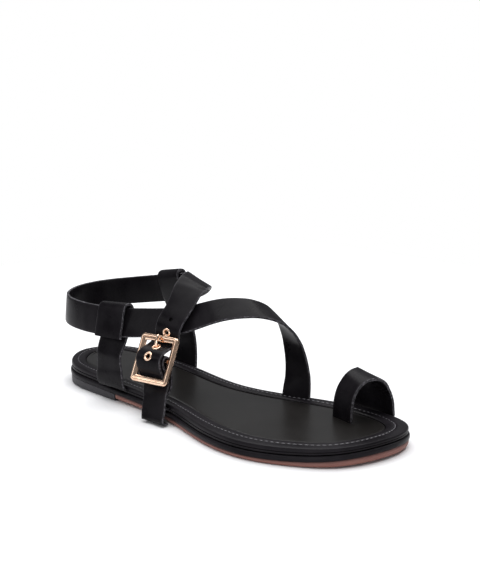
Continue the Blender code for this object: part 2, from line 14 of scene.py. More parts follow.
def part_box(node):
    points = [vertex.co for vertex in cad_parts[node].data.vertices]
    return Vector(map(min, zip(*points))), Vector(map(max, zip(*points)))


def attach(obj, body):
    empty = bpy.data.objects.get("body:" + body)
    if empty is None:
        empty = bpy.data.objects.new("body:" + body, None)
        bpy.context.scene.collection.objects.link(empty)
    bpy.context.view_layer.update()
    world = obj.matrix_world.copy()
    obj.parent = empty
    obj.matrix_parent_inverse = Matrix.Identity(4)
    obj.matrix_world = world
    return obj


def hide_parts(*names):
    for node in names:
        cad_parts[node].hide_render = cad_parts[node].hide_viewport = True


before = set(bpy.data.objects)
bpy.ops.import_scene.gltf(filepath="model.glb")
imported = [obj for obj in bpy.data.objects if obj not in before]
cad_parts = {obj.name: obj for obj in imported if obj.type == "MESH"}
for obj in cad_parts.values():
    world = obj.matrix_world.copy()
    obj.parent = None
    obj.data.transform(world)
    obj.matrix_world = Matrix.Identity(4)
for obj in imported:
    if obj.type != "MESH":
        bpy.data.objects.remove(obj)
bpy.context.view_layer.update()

MM = 0.001

# Sole
SOLE_LENGTH = 252.0
GAP = 0.3
BAND_THICK = 3.0
BREAST_AT = 72.0
BREAST_GAP = 1.0
TAN_GAP = 0.1
SOCK_RECESS = 1.9
# The dish that a heel has worn into the insole
DISH_AT = 30.0
DISH_LONG = 17.0
DISH_WIDE = 12.0
DISH_DEEP = 1.0
STITCH_PITCH = 3.0
STITCH_LONG = 2.1
THREAD_WIDE = 0.62
THREAD_HIGH = 0.34
THREAD_LIFT = 0.02
# How far before and after a stitch its direction is read
STITCH_REACH = 0.8
# The tan edge has painted shade from this share of its height up, to this much at the black band, standing in
# for the shade of the band's overhang
DARK_FROM = 0.55
DARK_MOST = 0.75

# Straps
STRAP_WIDTH = 17.4
STRAP_THICK = 1.8
TAB_WIDTH = 17.6
TAB_THICK = 1.5
RING_HOLE_RADIUS = 1.6
BARE_HOLE_RADIUS = 1.25
PUNCH_LONG = 6.0
# Low ridges beside a crease: share of its depth, and distance in its widths
RIDGE_SHARE = 0.45
RIDGE_AT = 1.9
# The strap bows over the middle bar, so its run is longer than the straight drop
RUN_OVER_DROP = 1.08

# Buckle
BUCKLE_WIDE = 27.0
BUCKLE_HIGH = 28.0
BUCKLE_CORNER = 2.6
BUCKLE_RAIL = 3.7
BAR_RADIUS = 1.1
BUCKLE_MIDDLE = Vector((115.0, -36.1, 34.2))
BUCKLE_ACROSS = Vector((0.985, 0.17, 0.0))
BUCKLE_OUT = Vector((0.15, -0.895, 0.42))
# The prong's slot in the tab: across, along and through it, and its place down and out
PRONG_SLOT = Vector((3.2, 7.4, 8.0))
PRONG_SLOT_AT = (-1.6, 2.4)
PRONG_SIDE = 0.2
TAB_INSIDE_SIDE = 2.0

bar_low, bar_high = [Vector(p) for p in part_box("buckle_bar")]
SHIFT = (bar_low + bar_high) / 2 - BUCKLE_MIDDLE * MM

OUTLINE = [
    # turn, lateral, medial
    (0, 0.0, 0.0),
    (18, 14.8, 17.8),
    (36, 28.8, 27.2),
    (54, 32.4, 27.4),
    (72, 33.6, 25.0),
    (90, 36.8, 22.4),
    (108, 47.2, 32.9),
    (126, 49.2, 43.0),
    (144, 37.6, 41.2),
    (162, 20.6, 29.2),
    (180, -8.2, 8.2),
]
PROFILE = [
    # along, band top, footbed rise over it, outsole underside
    (0, 9.2, 5.1, 1.4),
    (25, 8.6, 5.2, 1.4),
    (50, 7.9, 5.1, 1.4),
    (75, 7.3, 5.0, 1.3),
    (105, 6.5, 4.8, 0.9),
    (140, 5.6, 4.7, 0.0),
    (176, 5.2, 4.6, 0.0),
    (212, 5.3, 4.2, 0.0),
    (236, 6.3, 3.8, 0.3),
    (252, 8.0, 3.3, 1.2),
]
RIM = [
    # along, distance of the stitch line from the edge, distance of the rim's inner edge
    (0, 5.0, 9.6),
    (60, 4.6, 9.6),
    (133, 4.6, 9.8),
    (158, 5.6, 10.4),
    (186, 6.8, 11.6),
    (223, 7.4, 12.4),
    (252, 7.8, 12.8),
]
WRAP = [
    # x, y, z, across x, across y, across z
    (164.1, 27.3, 6.4, -0.93, -0.36, 0.00),
    (163.7, 28.2, 12.0, -0.95, -0.32, 0.00),
    (161.4, 31.3, 21.0, -0.99, -0.12, -0.05),
    (158.8, 31.9, 34.0, -1.00, 0.05, -0.03),
    (158.1, 26.3, 48.3, -0.97, 0.23, 0.12),
    (156.9, 16.8, 58.3, -0.88, 0.39, 0.28),
    (151.1, 2.5, 63.4, -0.77, 0.49, 0.41),
    (139.4, -9.4, 62.0, -0.64, 0.54, 0.54),
    (121.1, -16.7, 55.2, -0.42, 0.53, 0.74),
    (98.6, -22.9, 50.6, -0.19, 0.47, 0.86),
    (76.3, -28.4, 47.9, -0.09, 0.30, 0.95),
    (52.3, -30.7, 46.5, -0.03, 0.17, 0.99),
    (28.7, -29.4, 46.3, 0.02, 0.09, 1.00),
    (9.8, -21.2, 46.8, 0.08, 0.04, 1.00),
    (0.4, -5.9, 47.9, 0.07, -0.04, 1.00),
    (2.8, 10.4, 49.4, 0.00, -0.10, 0.99),
    (18.1, 22.5, 52.0, -0.09, -0.09, 0.99),
    (42.8, 27.6, 56.3, -0.16, -0.09, 0.98),
    (70.3, 25.6, 61.7, -0.28, -0.24, 0.93),
    (92.4, 16.2, 68.3, -0.56, -0.48, 0.67),
    (107.1, 2.8, 73.1, -0.73, -0.53, 0.43),
    (114.6, -10.6, 70.0, -0.90, -0.37, 0.23),
    (116.9, -19.5, 61.3, -0.97, -0.22, 0.13),
    (116.3, -26.9, 50.8, -0.98, -0.17, 0.10),
]
WRAP_IN_BUCKLE = [
    # down, out, sideways
    (-14.2, -3.0, 1.8),
    (-10.4, -2.8, 0.9),
    (-6.8, 0.2, 0.3),
    (-3.2, 3.4, -0.4),
    (0.0, 4.4, -0.8),
    (3.2, 3.4, -0.9),
    (6.8, 0.2, -0.9),
    (10.4, -2.8, -0.9),
    (13.2, -3.1, -0.9),
]
TOE_LOOP = [
    # x, y, z, across x, across y, across z, wide
    (209.1, 17.4, 6.4, -0.98, 0.20, 0.00, 17.2),
    (209.2, 17.3, 12.0, -0.98, 0.22, 0.03, 17.2),
    (209.7, 17.5, 19.4, -0.97, 0.25, 0.06, 17.2),
    (211.0, 20.1, 27.5, -0.96, 0.28, 0.05, 17.2),
    (212.8, 25.6, 32.2, -0.97, 0.22, 0.09, 17.2),
    (213.5, 32.8, 32.1, -0.98, 0.13, 0.12, 18.2),
    (211.0, 39.4, 27.3, -0.99, 0.08, 0.09, 23.8),
    (207.5, 43.7, 19.6, -1.00, 0.02, 0.05, 30.6),
    (205.6, 44.7, 12.5, -1.00, 0.00, 0.00, 33.6),
    (204.9, 44.2, 8.2, -1.00, 0.00, 0.00, 34.6),
    (204.9, 42.0, 6.8, -1.00, 0.00, 0.00, 34.6),
    (204.9, 38.8, 6.6, -1.00, 0.00, 0.00, 34.6),
]
KEEPER_LATERAL = [
    # x, y, z, wide: up from under the footbed, inside the ankle strap, over it and down outside
    (72.0, -27.3, 8.9, 25.6),
    (72.0, -30.2, 8.8, 25.6),
    (72.0, -33.6, 9.4, 25.6),
    (71.6, -34.9, 12.6, 24.8),
    (70.0, -34.3, 20.0, 23.0),
    (69.0, -33.4, 28.0, 22.2),
    (68.6, -30.8, 34.5, 22.0),
    (68.5, -28.0, 41.0, 22.0),
    (68.6, -26.2, 47.5, 22.0),
    (68.6, -24.6, 53.0, 22.0),
    (68.6, -24.3, 55.9, 22.0),
    (68.6, -25.8, 57.6, 22.0),
    (68.6, -28.7, 57.5, 22.0),
    (68.6, -30.5, 55.0, 22.0),
    (68.6, -32.1, 47.6, 22.0),
    (68.6, -33.5, 41.0, 22.0),
    (68.7, -33.9, 38.4, 22.0),
]
KEEPER_MEDIAL = [
    # x, y, z, wide
    (66.0, 20.6, 8.9, 23.0),
    (66.0, 24.3, 8.8, 23.0),
    (66.1, 27.0, 9.9, 23.0),
    (66.2, 27.8, 13.0, 22.6),
    (66.3, 28.1, 20.0, 22.0),
    (64.8, 28.5, 31.0, 22.0),
    (62.5, 27.5, 41.0, 22.0),
    (60.0, 25.5, 50.5, 22.0),
    (57.6, 24.2, 58.0, 22.0),
    (56.2, 23.2, 64.5, 22.0),
    (55.9, 23.1, 67.3, 22.0),
    (55.8, 24.6, 69.2, 22.0),
    (55.9, 27.5, 69.1, 22.0),
    (56.2, 29.2, 66.2, 22.0),
    (57.4, 30.7, 57.0, 22.0),
    (59.0, 31.7, 49.5, 22.0),
    (59.8, 31.9, 46.6, 22.0),
]
TAB_FOOT = [
    # x, y, z
    (118.4, -30.2, 7.6),
    (118.4, -33.6, 7.5),
    (118.3, -37.0, 8.0),
    (118.0, -38.6, 11.0),
]
TAB_INSIDE = [
    # down, out
    (15.5, -7.6),
    (10.0, -7.3),
    (4.6, -4.1),
]
TAB_BEND = 2.35
TAB_OUTSIDE = [
    # down, out, sideways: from the bar down again
    (2.6, 1.6, 0.0),
    (4.6, -0.6, 0.1),
    (7.4, -3.3, 0.5),
    (10.8, -5.3, 1.1),
    (14.0, -5.7, 1.8),
]
TAB_END = [
    # x, y, z
    (118.4, -38.2, 16.4),
    (120.1, -40.7, 12.2),
    (121.9, -42.8, 8.0),
    (123.5, -44.7, 4.0),
    (123.8, -44.9, 2.6),
    (123.8, -43.6, 1.4),
    (123.8, -41.2, 1.3),
]
PRONG = [
    # down, out, radius
    (-0.4, 1.75, 1.0),
    (-1.8, 0.1, 1.05),
    (-4.4, -0.3, 1.0),
    (-6.3, 0.5, 0.95),
    (-8.2, 2.1, 0.95),
    (-11.5, 3.0, 0.9),
    (-13.3, 2.7, 0.7),
    (-14.0, 2.4, 0.3),
]
HOLES = [
    # down from the middle bar along the strap, ringed
    (-0.4, True),
    (-6.9, True),
    (-18.2, True),
    (-25.2, False),
]
# Soft troughs pressed across a strap where it folds
WRAP_CREASES = [
    # nearest x, y, z; depth, width along, slant (mm of shift from one edge to the other)
    (152.0, 5.0, 63.3, 0.10, 3.2, 3.0),
    (157.5, 20.5, 55.5, 0.12, 2.4, -2.0),
    (158.4, 30.0, 41.0, 0.09, 2.6, 1.5),
    (161.4, 31.3, 21.0, 0.10, 1.6, 0.0),
    (99.0, 12.0, 70.5, 0.14, 2.6, 3.5),
    (110.5, -2.5, 73.3, 0.16, 2.2, -2.5),
    (114.0, -9.0, 70.8, 0.12, 1.8, 1.0),
    (10.0, -21.0, 46.8, 0.10, 3.0, 2.0),
    (2.8, 10.4, 49.4, 0.10, 3.0, -2.0),
    (43.0, -30.6, 46.4, 0.08, 3.5, 2.5),
    (88.0, -25.6, 49.2, 0.08, 3.0, -2.0),
]
# The other straps' troughs, with the same columns
TOE_LOOP_CREASES = [
    (211.0, 20.1, 27.5, 0.08, 1.8, 1.5),
    (214.3, 39.4, 27.5, 0.10, 1.6, -1.0),
]
KEEPER_LATERAL_CREASES = [
    (68.3, -33.0, 28.0, 0.10, 2.0, 1.0),
    (68.8, -34.0, 16.0, 0.08, 1.6, -1.0),
]
KEEPER_MEDIAL_CREASES = [
    (64.3, 28.3, 31.0, 0.10, 2.0, 1.0),
]
TAB_CREASES = [
    (120.5, -41.2, 11.0, 0.08, 1.6, 1.0),
]
EYELET = [
    # radius, height over the strap's face: flange, dome and bore
    (2.75, 0.05),
    (2.72, 0.22),
    (2.5, 0.42),
    (2.15, 0.52),
    (1.8, 0.46),
    (1.5, 0.2),
    (1.36, -0.2),
    (1.34, -1.2),
    (1.5, -1.2),
    (1.55, 0.0),
    (2.5, 0.0),
]
FRAME_SECTION = [
    # inset from the outer edge, out: back face, outer wall, bevel, crown, inner step, inner wall
    (0.35, -1.2),
    (0.0, -0.85),
    (0.0, 0.35),
    (0.25, 0.75),
    (1.1, 1.18),
    (1.5, 1.2),
    (1.9, 1.1),
    (2.05, 0.82),
    (2.9, 0.66),
    (3.5, 0.3),
    (3.7, 0.0),
    (3.7, -0.9),
    (3.35, -1.2),
]


# Curves through the tables

def spline(knots, values):
    """Natural cubic through the values; returns a function of the knot parameter."""
    t = np.asarray(knots, float)
    v = np.asarray(values, float)
    if v.ndim == 1:
        v = v[:, None]
    n = len(t)
    h = np.diff(t)
    grid = np.zeros((n, n))
    right = np.zeros((n, v.shape[1]))
    grid[0, 0] = 1.0
    grid[-1, -1] = 1.0
    for i in range(1, n - 1):
        grid[i, i - 1] = h[i - 1]
        grid[i, i] = 2.0 * (h[i - 1] + h[i])
        grid[i, i + 1] = h[i]
        right[i] = 3.0 * ((v[i + 1] - v[i]) / h[i] - (v[i] - v[i - 1]) / h[i - 1])
    c = np.linalg.solve(grid, right)
    b = (np.diff(v, axis=0) / h[:, None]) - h[:, None] * (2.0 * c[:-1] + c[1:]) / 3.0
    d = np.diff(c, axis=0) / (3.0 * h[:, None])

    def at(s):
        s = np.atleast_1d(np.asarray(s, float))
        i = np.clip(np.searchsorted(t, s, side="right") - 1, 0, n - 2)
        u = (s - t[i])[:, None]
        out = v[i] + u * (b[i] + u * (c[i] + u * d[i]))
        return out[:, 0] if out.shape[1] == 1 else out

    return at


def run_along(points):
    """Distance from the first point to each point, along the line."""
    return np.concatenate([[0.0], np.cumsum(np.linalg.norm(np.diff(points, axis=0), axis=1))])


turns = [math.radians(row[0]) for row in OUTLINE]
half_lateral = spline(turns, [row[1] for row in OUTLINE])
half_medial = spline(turns, [row[2] for row in OUTLINE])
stations = [row[0] for row in PROFILE]
band_top = spline(stations, [row[1] for row in PROFILE])
footbed_rise = spline(stations, [row[2] for row in PROFILE])
underside = spline(stations, [row[3] for row in PROFILE])


def height_at(x, curve):
    return float(curve(min(max(x, 0.0), SOLE_LENGTH))[0])


def turn_at(x):
    """The outline's turn, from the heel's back round to the toe, where it is x along."""
    return math.acos(max(-1.0, min(1.0, 1.0 - 2.0 * x / SOLE_LENGTH)))


def rim_top(x):
    return height_at(x, band_top) + height_at(x, footbed_rise)


def stitch_inset(x):
    return float(np.interp(x, [row[0] for row in RIM], [row[1] for row in RIM]))


def rim_inset(x):
    return float(np.interp(x, [row[0] for row in RIM], [row[2] for row in RIM]))


# Turn before and after a point, in radians, for the outline's direction there
TURN_STEP = 0.01


def edge_point(turn, sign, inset):
    """Point of the sole's outline, moved in by the inset; sign -1 is the lateral side."""
    half = half_lateral if sign < 0 else half_medial

    def point(t):
        return np.array([SOLE_LENGTH * (1 - math.cos(t)) / 2, sign * float(half(t)[0])])

    step = point(min(turn + TURN_STEP, math.pi)) - point(max(turn - TURN_STEP, 0.0))
    step /= np.linalg.norm(step)
    place = point(turn)
    depth = inset(place[0]) if callable(inset) else inset
    return place + depth * np.array([step[1], -step[0]]) * sign


def place_mesh(name, points, faces, mats, slots=None, sharp=35.0):
    """New object from points in mm, riding on the sandal."""
    data = bpy.data.meshes.new(name)
    data.from_pydata([tuple(Vector(p) * MM + SHIFT) for p in points], [], faces)
    for mat in mats:
        data.materials.append(mat)
    if slots is not None:
        data.polygons.foreach_set("material_index", slots)
    data.validate()
    mesh = bmesh.new()
    mesh.from_mesh(data)
    bmesh.ops.recalc_face_normals(mesh, faces=mesh.faces)
    mesh.to_mesh(data)
    mesh.free()
    data.shade_smooth()
    data.set_sharp_from_angle(angle=math.radians(sharp))
    obj = bpy.data.objects.new(name, data)
    bpy.context.scene.collection.objects.link(obj)
    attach(obj, "root")
    return obj


def set_mark(obj, name, values):
    """Number kept on every vertex, which a material reads."""
    mark = obj.data.attributes.new(name, "FLOAT", "POINT")
    mark.data.foreach_set("value", values)


# Materials

# Sizes of the patterns in mm. Real calf has pebbles near 0.3 mm and pores near 0.1 mm: the
# render shows half a millimetre to a pixel, so both are drawn coarser
PEBBLE = 0.7
LINING_PEBBLE = 0.5
PORE = 0.3846
CLOUD = 16.67
SCUFF = 1.111
EDGE_FIBRE = 0.6667
EDGE_FLECK = 1.4286
RAW_FIBRE = 0.3333
SOLE_STREAK = 1.4286
SOLE_STAIN = 22.22
PLATE_CLOUD = 2.857
PLATE_DING = 2.0
THREAD_TWIST = 0.748
FLOOR_CLOUD = 333.3
# Sockets of a Mix node in its colour mode
COLOUR_A = 6
COLOUR_B = 7
COLOUR_OUT = 2


def linear(hex_colour):
    """Screen colour as hex to Blender's linear colour."""
    parts = [int(hex_colour[i:i + 2], 16) / 255.0 for i in (1, 3, 5)]
    return [c / 12.92 if c <= 0.04045 else ((c + 0.055) / 1.055) ** 2.4 for c in parts] + [1.0]


def per_metre(size):
    """Scale of a texture whose cells are this many mm."""
    return 1.0 / (size * MM)


def add(tree, kind, inputs=None, **settings):
    """Adds a node with its settings; an input is a number, a colour, a socket, or a node,
    which gives its first output."""
    node = tree.nodes.new(kind)
    for key, value in settings.items():
        setattr(node, key, value)
    for socket, value in (inputs or {}).items():
        if isinstance(value, bpy.types.Node):
            value = value.outputs[0]
        if isinstance(value, bpy.types.NodeSocket):
            tree.links.new(value, node.inputs[socket])
        else:
            node.inputs[socket].default_value = value
    return node


def new_material(name, colour, rough, metal=0.0, coat=0.0, coat_rough=0.2, level=0.5):
    """Plain material, with its tree, its shader and the place on the object."""
    mat = bpy.data.materials.new(name)
    mat.use_nodes = True
    tree = mat.node_tree
    shader = tree.nodes["Principled BSDF"]
    shader.inputs["Base Color"].default_value = linear(colour)
    shader.inputs["Roughness"].default_value = rough
    shader.inputs["Metallic"].default_value = metal
    shader.inputs["Coat Weight"].default_value = coat
    shader.inputs["Coat Roughness"].default_value = coat_rough
    shader.inputs["Specular IOR Level"].default_value = level
    where = add(tree, "ShaderNodeTexCoord").outputs["Object"]
    return mat, tree, shader, where


def leather(name, colour, worn, rough, coat, pebble=PEBBLE, deep=0.05, level=0.5, cloudy=0.06):
    """Pigmented leather: fine pebbled grain, cloudy polish, paler where the mark says worn."""
    mat, tree, shader, where = new_material(name, colour, rough, coat=coat, coat_rough=0.28, level=level)
    pebbles = add(tree, "ShaderNodeTexVoronoi", {
        "Vector": where, "Scale": per_metre(pebble), "Smoothness": 0.7,
    }, feature="SMOOTH_F1")
    pores = add(tree, "ShaderNodeTexNoise", {
        "Vector": where, "Scale": per_metre(PORE), "Detail": 3.0, "Roughness": 0.55,
    })
    grain = add(tree, "ShaderNodeMath", {0: pebbles, 1: pores}, operation="ADD")
    bump = add(tree, "ShaderNodeBump", {"Height": grain, "Strength": 0.55, "Distance": deep * MM})
    tree.links.new(bump.outputs[0], shader.inputs["Normal"])

    cloud = add(tree, "ShaderNodeTexNoise", {
        "Vector": where, "Scale": per_metre(CLOUD), "Detail": 3.0, "Roughness": 0.55,
    })
    polish = add(tree, "ShaderNodeMapRange", {
        "Value": cloud, "From Min": 0.3, "From Max": 0.7, "To Min": rough - cloudy, "To Max": rough + cloudy,
    })
    tree.links.new(polish.outputs[0], shader.inputs["Roughness"])

    scuffs = add(tree, "ShaderNodeTexNoise", {
        "Vector": where, "Scale": per_metre(SCUFF), "Detail": 2.0, "Roughness": 0.55,
    })
    broken = add(tree, "ShaderNodeMapRange", {
        "Value": scuffs, "From Min": 0.35, "From Max": 0.65, "To Min": 0.55, "To Max": 1.0,
    })
    mark = add(tree, "ShaderNodeAttribute", attribute_name="worn").outputs["Fac"]
    wear = add(tree, "ShaderNodeMath", {0: mark, 1: broken}, operation="MULTIPLY")
    cloud_share = add(tree, "ShaderNodeMapRange", {
        "Value": cloud, "From Min": 0.3, "From Max": 0.7, "To Max": 0.5,
    })
    tone = add(tree, "ShaderNodeMix", {
        "Factor": cloud_share, COLOUR_A: linear(colour), COLOUR_B: linear(worn),
    }, data_type="RGBA").outputs[COLOUR_OUT]
    tone = add(tree, "ShaderNodeMix", {
        "Factor": wear, COLOUR_A: tone, COLOUR_B: linear(worn),
    }, data_type="RGBA").outputs[COLOUR_OUT]
    tree.links.new(tone, shader.inputs["Base Color"])
    return mat


def flecked(name, colour, pale, rough):
    """Matt cut or moulded surface: short fibres and chalky pale flecks."""
    mat, tree, shader, where = new_material(name, colour, rough, level=0.4)
    fibre = add(tree, "ShaderNodeTexNoise", {
        "Vector": where, "Scale": per_metre(EDGE_FIBRE), "Detail": 4.0, "Roughness": 0.7,
    })
    bump = add(tree, "ShaderNodeBump", {"Height": fibre, "Strength": 0.7, "Distance": 0.12 * MM})
    tree.links.new(bump.outputs[0], shader.inputs["Normal"])
    flecks = add(tree, "ShaderNodeTexNoise", {
        "Vector": where, "Scale": per_metre(EDGE_FLECK), "Detail": 3.0, "Roughness": 0.55,
    })
    share = add(tree, "ShaderNodeMapRange", {"Value": flecks, "From Min": 0.45, "From Max": 0.68})
    tone = add(tree, "ShaderNodeMix", {
        "Factor": share, COLOUR_A: linear(colour), COLOUR_B: linear(pale),
    }, data_type="RGBA").outputs[COLOUR_OUT]
    tree.links.new(tone, shader.inputs["Base Color"])
    return mat


# Semi-gloss black calf: the eye sees near black with a soft grey shine where it faces up
upper_leather = leather("upper calf leather", "#0e0c0f", "#262427", 0.30, 0.0, level=0.05)
# The same hide wrapped round the footbed, a little duller from the pull over the board
wrap_leather = leather("footbed wrap leather", "#131114", "#2b282c", 0.38, 0.0, level=0.06)
# Polished lining leather: smooth, shows soft dark reflections of the straps
lining_leather = leather(
    "polished lining leather", "#181615", "#22201f", 0.30, 0.12,
    pebble=LINING_PEBBLE, deep=0.012, level=0.2, cloudy=0.02,
)
# Inked cut edges of the straps: paler and matt, with fibres
edge_ink = flecked("inked cut edge", "#242226", "#5c595f", 0.62)
# Heel rubber: matt black, faint moulding flecks
heel_rubber = flecked("black heel rubber", "#2e2c30", "#39373b", 0.6)

# Waxed thread: grey twisted nylon, paler than the leather round it
thread, tree, shader, where = new_material("waxed thread", "#5b585e", 0.36)
# A wave texture at scale 1 has a band every tenth of pi metres
twist = add(tree, "ShaderNodeTexWave", {
    "Vector": where, "Scale": math.pi / 10 * per_metre(THREAD_TWIST), "Distortion": 1.5,
})
bump = add(tree, "ShaderNodeBump", {"Height": twist.outputs["Fac"], "Strength": 0.5, "Distance": 0.08 * MM})
tree.links.new(bump.outputs[0], shader.inputs["Normal"])

# Raw leather inside the prong holes and the tab's slot: dark, dull and fibrous
hole_fibre, tree, shader, where = new_material("raw hole fibre", "#120d0b", 0.85, level=0.2)
fibre = add(tree, "ShaderNodeTexNoise", {
    "Vector": where, "Scale": per_metre(RAW_FIBRE), "Detail": 4.0, "Roughness": 0.55,
})
bump = add(tree, "ShaderNodeBump", {"Height": fibre, "Strength": 0.6, "Distance": 0.1 * MM})
tree.links.new(bump.outputs[0], shader.inputs["Normal"])

# Natural sole leather: pinkish tan, with painted shade near the black band that overhangs it, fine fibres
# along it
sole_leather, tree, shader, where = new_material("natural sole leather", "#a27a70", 0.62, level=0.35)
along = add(tree, "ShaderNodeVectorMath", {0: where, 1: (0.18, 0.18, 1.6)}, operation="MULTIPLY")
streaks = add(tree, "ShaderNodeTexNoise", {
    "Vector": along, "Scale": per_metre(SOLE_STREAK), "Detail": 4.0, "Roughness": 0.55,
})
bump = add(tree, "ShaderNodeBump", {"Height": streaks, "Strength": 0.5, "Distance": 0.1 * MM})
tree.links.new(bump.outputs[0], shader.inputs["Normal"])
stains = add(tree, "ShaderNodeTexNoise", {
    "Vector": where, "Scale": per_metre(SOLE_STAIN), "Detail": 3.0, "Roughness": 0.55,
})
stained = add(tree, "ShaderNodeMapRange", {"Value": stains, "From Min": 0.35, "From Max": 0.65})
tone = add(tree, "ShaderNodeMix", {
    "Factor": stained, COLOUR_A: linear("#8e6259"), COLOUR_B: linear("#80554d"),
}, data_type="RGBA").outputs[COLOUR_OUT]
streaked = add(tree, "ShaderNodeMapRange", {
    "Value": streaks, "From Min": 0.35, "From Max": 0.7, "To Max": 0.35,
})
tone = add(tree, "ShaderNodeMix", {
    "Factor": streaked, COLOUR_A: tone, COLOUR_B: linear("#7d564e"),
}, data_type="RGBA").outputs[COLOUR_OUT]
# Painted shade under the black band's overhang, read from the vertex mark, darkening the top of the tan edge
overhang_shade = add(tree, "ShaderNodeAttribute", attribute_name="overhang_shade").outputs["Fac"]
tone = add(tree, "ShaderNodeMix", {
    "Factor": overhang_shade, COLOUR_A: tone, COLOUR_B: linear("#4b3633"),
}, data_type="RGBA").outputs[COLOUR_OUT]
tree.links.new(tone, shader.inputs["Base Color"])

# Rose gold plate over cast zinc: polished, faintly uneven, with tiny dings
plate, tree, shader, where = new_material("rose gold plate", "#e3bfa6", 0.2, metal=1.0)
cloud = add(tree, "ShaderNodeTexNoise", {
    "Vector": where, "Scale": per_metre(PLATE_CLOUD), "Detail": 4.0, "Roughness": 0.55,
})
polish = add(tree, "ShaderNodeMapRange", {
    "Value": cloud, "From Min": 0.3, "From Max": 0.7, "To Min": 0.14, "To Max": 0.27,
})
tree.links.new(polish.outputs[0], shader.inputs["Roughness"])
dings = add(tree, "ShaderNodeTexNoise", {
    "Vector": where, "Scale": per_metre(PLATE_DING), "Detail": 2.0, "Roughness": 0.55,
})
bump = add(tree, "ShaderNodeBump", {"Height": dings, "Strength": 0.25, "Distance": 0.05 * MM})
tree.links.new(bump.outputs[0], shader.inputs["Normal"])
redder = add(tree, "ShaderNodeMapRange", {
    "Value": cloud, "From Min": 0.35, "From Max": 0.7, "To Max": 0.6,
})
tone = add(tree, "ShaderNodeMix", {
    "Factor": redder, COLOUR_A: linear("#f3d3ba"), COLOUR_B: linear("#dcae8f"),
}, data_type="RGBA").outputs[COLOUR_OUT]
tree.links.new(tone, shader.inputs["Base Color"])


# Sole

def sole_layer(name, rings, mat, start=0.0, end=SOLE_LENGTH, count=150, across=2, dish=None):
    """Closed layer of the sole from rings (inset, height), bottom first, closed across."""
    points = []
    faces = []
    closed_heel = start <= 0.0
    closed_toe = end >= SOLE_LENGTH
    turn_row = np.linspace(turn_at(start), turn_at(end), count)
    loops = []
    grids = []

    def put(x, y, z):
        points.append((x, y, z))
        return len(points) - 1

    def face(*corners):
        corners = [v for i, v in enumerate(corners) if v != corners[i - 1]]
        if len(corners) > 2:
            faces.append(corners)

    for k, (inset, height) in enumerate(rings):
        lateral = [edge_point(t, -1, inset) for t in turn_row]
        medial = [edge_point(t, 1, inset) for t in turn_row]
        left = []
        right = []
        rows = []
        for i in range(count):
            a, b = lateral[i], medial[i]
            shared = (i == 0 and closed_heel) or (i == count - 1 and closed_toe)
            if shared:
                a = b = (a + b) / 2
            va = put(a[0], a[1], height(a[0]))
            vb = va if shared else put(b[0], b[1], height(b[0]))
            left.append(va)
            right.append(vb)
            if k in (0, len(rings) - 1):
                row = [va]
                if not shared:
                    for j in range(1, across):
                        p = a + (b - a) * j / across
                        row.append(put(p[0], p[1], height(p[0]) + (dish(p[0], p[1]) if dish else 0.0)))
                    row.append(vb)
                rows.append(row)
        loops.append((left, right))
        if rows:
            grids.append(rows)
    for (left_a, right_a), (left_b, right_b) in zip(loops, loops[1:]):
        for i in range(count - 1):
            face(left_a[i], left_a[i + 1], left_b[i + 1], left_b[i])
            face(right_a[i + 1], right_a[i], right_b[i], right_b[i + 1])
    for rows in grids:
        for low, high in zip(rows, rows[1:]):
            if len(low) == 1 or len(high) == 1:
                tip, row = (low, high) if len(low) == 1 else (high, low)
                for j in range(len(row) - 1):
                    face(tip[0], row[j], row[j + 1])
            else:
                for j in range(len(low) - 1):
                    face(low[j], high[j], high[j + 1], low[j + 1])
    for which, shut in ((0, closed_heel), (-1, closed_toe)):
        if not shut:
            first = grids[0][which]
            last = grids[1][which]
            near = [v[0][which] for v in loops[1:-1]]
            far = [v[1][which] for v in loops[1:-1]]
            faces.append(first + far + last[::-1] + near[::-1])
    return place_mesh(name, points, faces, [mat])


def band_under(x):
    return height_at(x, band_top) - BAND_THICK


def floor_under(x):
    return height_at(x, underside)


def tan_top(x):
    return band_under(x) - TAN_GAP


def lift(amount, height):
    """The same height function, moved up."""
    return lambda x: height(x) + amount


def part_way(share):
    """Height on the outsole's edge, as a share of its thickness."""
    return lambda x: floor_under(x) + share * (tan_top(x) - floor_under(x))


def wall(share):
    """Height on the footbed's wall, as a share of its rise."""
    return lambda x: height_at(x, band_top) + GAP + share * (height_at(x, footbed_rise) - GAP)


def stitch_row(offset):
    return lambda x: stitch_inset(x) + offset


def rim_edge(offset):
    return lambda x: rim_inset(x) + offset


def heel_dish(x, y):
    return -DISH_DEEP * math.exp(-((x - DISH_AT) / DISH_LONG) ** 2 - (y / DISH_WIDE) ** 2)


outsole = sole_layer("outsole_leather", [
    # inset from the outline, height: rounded lower edge, plain wall, eased top
    (1.7, floor_under),
    (1.2, part_way(0.05)),
    (0.85, part_way(0.16)),
    (0.62, part_way(0.35)),
    (0.5, part_way(0.6)),
    (0.5, part_way(0.8)),
    (0.6, part_way(0.93)),
    (0.8, tan_top),
], sole_leather, start=BREAST_AT + BREAST_GAP, count=130)
# Vertex mark of painted shade: it rises toward the black band, whose overhang shades the tan edge
overhang_shade = []
for v in outsole.data.vertices:
    p = (v.co - SHIFT) / MM
    share = (p.z - floor_under(p.x)) / max(0.3, tan_top(p.x) - floor_under(p.x))
    overhang_shade.append(min(1.0, max(0.0, (share - DARK_FROM) / (1.0 - DARK_FROM))) * DARK_MOST)
set_mark(outsole, "overhang_shade", overhang_shade)
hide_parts("outsole")

heel = sole_layer("heel_lift_rubber", [
    # inset from the outline, height
    (1.3, lambda x: 0.0),
    (0.8, lambda x: 0.25),
    (0.6, lambda x: 0.7),
    (0.5, lift(-0.9, band_under)),
    (0.55, lift(-0.4, band_under)),
    (0.9, lift(-0.1, band_under)),
], heel_rubber, end=BREAST_AT, count=70)
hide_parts("heel_lift")

